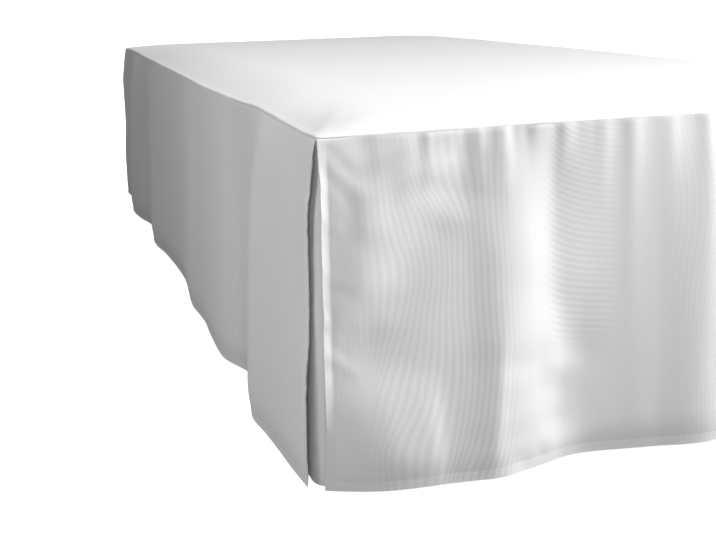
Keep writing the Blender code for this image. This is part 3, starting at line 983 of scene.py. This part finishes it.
def watering(edge, at, down):
    """The watered pattern here: how far across its lines this is, in metres, and how strong they are.

    Upright lines wander all over the side drops and the far part of the foot drop. The near part of
    the foot drop has the lines placed above, and then arcs.
    """
    stray = noise.noise(Vector((at / 0.13, down / 0.19, edge.seed + 60.0)))
    if edge is not FOOT or at > ARCS_END:
        fade = smooth((at - ARCS_END) / 0.04 if edge is FOOT else 1.0)
        return at + FREE_STRAY * stray, FREE_STRENGTH * fade
    if at > LINES_END:
        return arc_watering(at, down, stray)
    runs = [watered_run(line, down) for line in WATERED_LINES]
    k = next(i for i in range(len(runs) - 1) if at <= runs[i + 1])
    share = (at - runs[k]) / (runs[k + 1] - runs[k])
    across = WATERED_LINES[k].number * (1 - share) + WATERED_LINES[k + 1].number * share
    by_side = smooth((0.228 - at) / 0.035) * (0.25 + 0.55 * smooth((at - 0.03) / 0.04))
    by_seam = 0.5 + 0.3 * smooth((down - 0.02) / 0.05) + 0.2 * smooth((at - 0.10) / 0.04)
    return across + LINE_STRAY * stray, by_side * by_seam


MIDDLE_ROWS = 66


def drop_downs():
    """The rows of a drop, close together at the seam and the hem."""
    hem = DROP - HEM_DEPTH
    top = [SEAM_GROOVE_TOP, 0.0010, 0.0014, 0.0019, 0.0026, 0.0036, 0.0051, 0.0072, 0.0100, 0.0140]
    run = hem - 0.0025 - top[-1]
    middle = [top[-1] + run * k / MIDDLE_ROWS for k in range(1, MIDDLE_ROWS + 1)]
    bottom = [hem - 0.0012, hem - 0.0005, hem, hem + 0.0006, hem + 0.0014, hem + 0.0030, hem + 0.0060]
    return top + middle + bottom + [DROP - 0.0030, DROP - 0.0008, DROP]


def drop_ats(first, last, count, crowding):
    """The columns of a drop, close together at both end hems."""
    hem = [0.0, 0.0010, 0.0028, 0.0050, 0.0070, 0.0084, 0.0095, 0.0104, 0.0116, 0.0138]
    start = [first + step for step in hem]
    end = [last - step for step in reversed(hem)]
    middle = [start[-1] + (end[0] - start[-1]) * (k / count) ** crowding for k in range(1, count)]
    return start + middle + end


STITCHED_EDGE = 0.0003  # how far past its stitching a hem is still its full thickness
END_HEM_TOP = 0.02  # how far down the cloth an end hem is thick, clear of the seam


def skirt_drop(name, edge, ats):
    """One drop of the skirt, sewn along its top and hemmed on its other three sides."""
    downs = drop_downs()
    columns = [drop_column(edge, at) for at in ats]
    first = ats[0]
    length = ats[-1] - first
    span = ats[-1] + first

    def point(column, row):
        return drop_point(edge, columns[column], downs[row], span)

    def chart(column, row):
        return ats[column] - first, downs[row]

    def doubled(column, row):
        by_end = min(ats[column] - first, ats[-1] - ats[column])
        in_hem = downs[row] > DROP - HEM_DEPTH - STITCHED_EDGE
        in_end_hem = by_end < END_HEM + STITCHED_EDGE and downs[row] > END_HEM_TOP
        return 1.0 if in_hem or in_end_hem else 0.0

    def watered(column, row):
        return watering(edge, ats[column], downs[row])

    charts = {"weave": chart, "watering": watered}
    rows = len(downs)
    piece = sewn_grid(
        name, len(ats), rows, point, charts, edge.outward, SKIRT_CLOTH, SKIRT_HEM, doubled
    )
    piece.data.materials.append(ribbed)
    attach(piece, "root")
    return piece


RIB_PITCH = 0.0011
CORD_PITCH = 0.0034
WEFT_PITCH = 0.0007
WATERED_PITCH = 0.0068
RIBBED_DARK = (0.75, 0.75, 0.75)
RIBBED_PALE = (0.90, 0.90, 0.90)


def ribbed_cotton():
    """White cotton with fine upright ribs, thick and thin yarns, and soft watered lines."""
    sheen = {"Sheen Weight": 0.15, "Sheen Roughness": 0.4}
    finish, surface = new_finish("ribbed white cotton", 0.82, sheen)
    start = Dye(surface.outputs[0])
    chart = start.node("ShaderNodeUVMap", {"uv_map": "weave"})
    at, down = (start.node("ShaderNodeSeparateXYZ", sockets={0: chart}, output=k) for k in range(2))
    lines = start.node("ShaderNodeUVMap", {"uv_map": "watering"})
    across, strength = (start.node("ShaderNodeSeparateXYZ", sockets={0: lines}, output=k) for k in range(2))
    watered = across.wave(WATERED_PITCH) * strength
    rib = at.wave(RIB_PITCH)
    weft = down.wave(WEFT_PITCH)
    slub_chart = start.node("ShaderNodeMapping", sockets={"Vector": chart, "Scale": (620.0, 22.0, 1.0)})
    slub = start.node("ShaderNodeTexNoise", sockets={"Vector": slub_chart, "Scale": 1.0, "Detail": 2.0})
    cross_chart = start.node("ShaderNodeMapping", sockets={"Vector": chart, "Scale": (30.0, 900.0, 1.0)})
    cross = start.node("ShaderNodeTexNoise", sockets={"Vector": cross_chart, "Scale": 1.0, "Detail": 1.0})
    corded = at.wave(CORD_PITCH)
    shade = watered * 0.34 + corded * 0.03 + rib * 0.06 + weft * 0.02 + slub * 0.24 + cross * 0.12 + 0.34
    link(surface, "Base Color", shade.tint(RIBBED_DARK, RIBBED_PALE))
    relief = rib * 0.5 + weft * 0.15 + slub * 0.6 + cross * 0.3
    bump = start.node("ShaderNodeBump", sockets={"Strength": 0.35, "Distance": 0.00015, "Height": relief})
    link(surface, "Normal", bump)
    return finish


ribbed = ribbed_cotton()
SIDE_START = 0.0026
SIDE_COLUMNS = 370
SIDE_CROWDING = 1.25
FOOT_START = 0.0010
FOOT_COLUMNS = 225
FOOT_CROWDING = 1.0
side_ats = drop_ats(SIDE_START, BED_LENGTH + DROP_OUT, SIDE_COLUMNS, SIDE_CROWDING)
foot_length = 2 * (SIDE_X + DROP_OUT)
foot_ats = drop_ats(FOOT_START, foot_length - FOOT_START, FOOT_COLUMNS, FOOT_CROWDING)
drop_foot = skirt_drop("foot_drop", FOOT, foot_ats)
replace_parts(drop_foot, "drop_foot")
drop_left = skirt_drop("left_drop", LEFT, side_ats)
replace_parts(drop_left, "drop_left")
drop_right = skirt_drop("right_drop", RIGHT, side_ats)
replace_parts(drop_right, "drop_right")


# The two corner inserts are narrow panels of the same cloth, sewn to the seam allowance behind each
# split corner and hemmed at the foot, so that the base doesn't show through the split.
INSERT_GAP = 0.0003
INSERT_TOP = RIM_TOP - SEAM_ALLOWANCE - INSERT_GAP
INSERT_DROP = INSERT_TOP - HEM_HEIGHT
INSERT_RUN = 0.120
INSERT_ARC = 12
INSERT_SIDE_STEPS = 24
INSERT_ROWS = 60
INSERT_RIPPLE = 0.0008


class Level(NamedTuple):
    """One level of an insert: how far it stands out of the side and the foot, and its corner's round."""

    at: float  # down the cloth
    side: float
    foot: float
    radius: float


INSERT_LEVELS = (
    Level(0.000, 0.0032, 0.0032, 0.005),
    Level(0.025, 0.0036, 0.0034, 0.005),
    Level(0.060, 0.0080, 0.0038, 0.006),
    Level(0.100, 0.0105, 0.0044, 0.008),
    Level(0.200, 0.0125, 0.0050, 0.012),
    Level(0.300, 0.0145, 0.0052, 0.018),
    Level(0.384, 0.0162, 0.0052, 0.027),
)


def insert_plan(down):
    """One level of an insert, as steps out of the side and out of the foot."""
    names = ("side", "foot", "radius")
    side_out, foot_out, radius = (through(INSERT_LEVELS, name, down) for name in names)
    flat = INSERT_RUN - radius
    runs = [INSERT_RUN - flat * k / INSERT_SIDE_STEPS for k in range(INSERT_SIDE_STEPS)]
    plan = [(side_out, foot_out - run) for run in runs]
    for k in range(INSERT_ARC + 1):
        angle = math.pi / 2 * k / INSERT_ARC
        out = side_out - radius * (1 - math.cos(angle))
        plan.append((out, foot_out - radius * (1 - math.sin(angle))))
    return plan + [(side_out - run, foot_out) for run in reversed(runs)]


INSERT_HEM = INSERT_DROP - HEM_DEPTH
INSERT_DOWNS = [INSERT_DROP * k / INSERT_ROWS for k in range(INSERT_ROWS - 2)]
INSERT_DOWNS += [INSERT_HEM, INSERT_HEM + 0.0006, INSERT_DROP - 0.006, INSERT_DROP]
INSERT_DOWNS.sort()


def insert_panel(name, side):
    """The cloth behind one split, bent round the base's foot corner."""
    plans = [insert_plan(down) for down in INSERT_DOWNS]
    columns = len(plans[0])

    def point(column, row):
        out, forward = plans[row][column]
        down = INSERT_DOWNS[row]
        ripple = INSERT_RIPPLE * noise.noise(Vector((column / 7.0, down / 0.12, 40.0 + side)))
        ripple *= smooth(down / 0.05)
        across = column / (columns - 1)
        out += ripple * smooth(2 - 2.2 * across)
        forward += ripple * smooth(2.2 * across)
        return Vector((side * (SIDE_X + out), FOOT_Y - forward, INSERT_TOP - down))

    def chart(column, row):
        return column / (columns - 1) * 2 * INSERT_RUN, INSERT_DOWNS[row]

    def doubled(column, row):
        return 1.0 if INSERT_DOWNS[row] > INSERT_HEM - STITCHED_EDGE else 0.0

    rows = len(INSERT_DOWNS)
    outward = Vector((side, -1, 0))
    charts = {"weave": chart, "watering": chart}
    piece = sewn_grid(name, columns, rows, point, charts, outward, SKIRT_CLOTH, SKIRT_HEM, doubled)
    piece.data.materials.append(ribbed)
    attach(piece, "root")
    return piece


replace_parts(insert_panel("left_insert", -1), "insert_left")
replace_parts(insert_panel("right_insert", 1), "insert_right")


# The light is a plain soft studio: soft boxes off the right foot corner that rake across the foot,
# one in front and one on the left that die away along the bed, one above the foot, and wide even
# lights from the right, low and high, from the head end and weakly from the left.
def soft_box(name, place, towards, size, power):
    bpy.ops.object.light_add(type="AREA", location=place)
    lamp = bpy.context.object
    lamp.name = name
    lamp.data.shape = "DISK"
    lamp.data.size = size
    lamp.data.energy = power
    lamp.rotation_euler = (Vector(towards) - Vector(place)).to_track_quat("-Z", "Y").to_euler()


def far_light(name, turn, height, width, power):
    """A wide even light from far off: its turn is from the foot end round to the right."""
    bpy.ops.object.light_add(type="SUN", location=(0, 0, 4))
    lamp = bpy.context.object
    lamp.name = name
    lamp.data.angle = math.radians(width)
    lamp.data.energy = power
    turn = math.radians(turn)
    height = math.radians(height)
    level = math.cos(height)
    beam = Vector((-math.sin(turn) * level, math.cos(turn) * level, -math.sin(height)))
    lamp.rotation_euler = beam.to_track_quat("-Z", "Y").to_euler()


soft_box("key", place=(2.6, -2.1, 0.7), towards=(-0.2, -1.0, 0.25), size=0.8, power=7.0)
soft_box("key_close", place=(0.85, -1.45, 0.84), towards=(-0.22, -1.0, 0.28), size=0.6, power=9.8)
soft_box("front", place=(-0.9, -2.4, 0.7), towards=(-0.45, -0.97, 0.2), size=0.5, power=7.4)
soft_box("left_side", place=(-1.8, -0.85, 0.7), towards=(-0.45, -0.7, 0.2), size=0.8, power=5.7)
soft_box("top", place=(0.3, -1.0, 2.2), towards=(0.1, -0.6, 0.4), size=1.2, power=8.5)
far_light("low", turn=100, height=11, width=14, power=1.0)
far_light("low_front", turn=80, height=11, width=14, power=0.55)
far_light("side", turn=72, height=40, width=20, power=1.02)
far_light("high", turn=60, height=65, width=30, power=0.20)
far_light("back", turn=180, height=65, width=30, power=0.78)
far_light("left", turn=-110, height=27, width=34, power=0.22)
world = bpy.data.worlds.new("studio")
bpy.context.scene.world = world
world.use_nodes = True
sky = Dye(world.node_tree.nodes["Background"].outputs[0])
seen = sky.node("ShaderNodeLightPath")
room = sky.node("ShaderNodeBackground", sockets={"Color": (0.02, 0.02, 0.02, 1.0)})
white = sky.node("ShaderNodeBackground", sockets={"Color": (1.0, 1.0, 1.0, 1.0)})
both = sky.node("ShaderNodeMixShader", sockets={0: seen, 1: room, 2: white})
world.node_tree.links.new(both.socket, world.node_tree.nodes["World Output"].inputs["Surface"])
bpy.context.scene.view_settings.view_transform = "Standard"

boxes = {"cad": cad_box, "visual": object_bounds()}
{name: [list(corner) for corner in box] for name, box in boxes.items()}
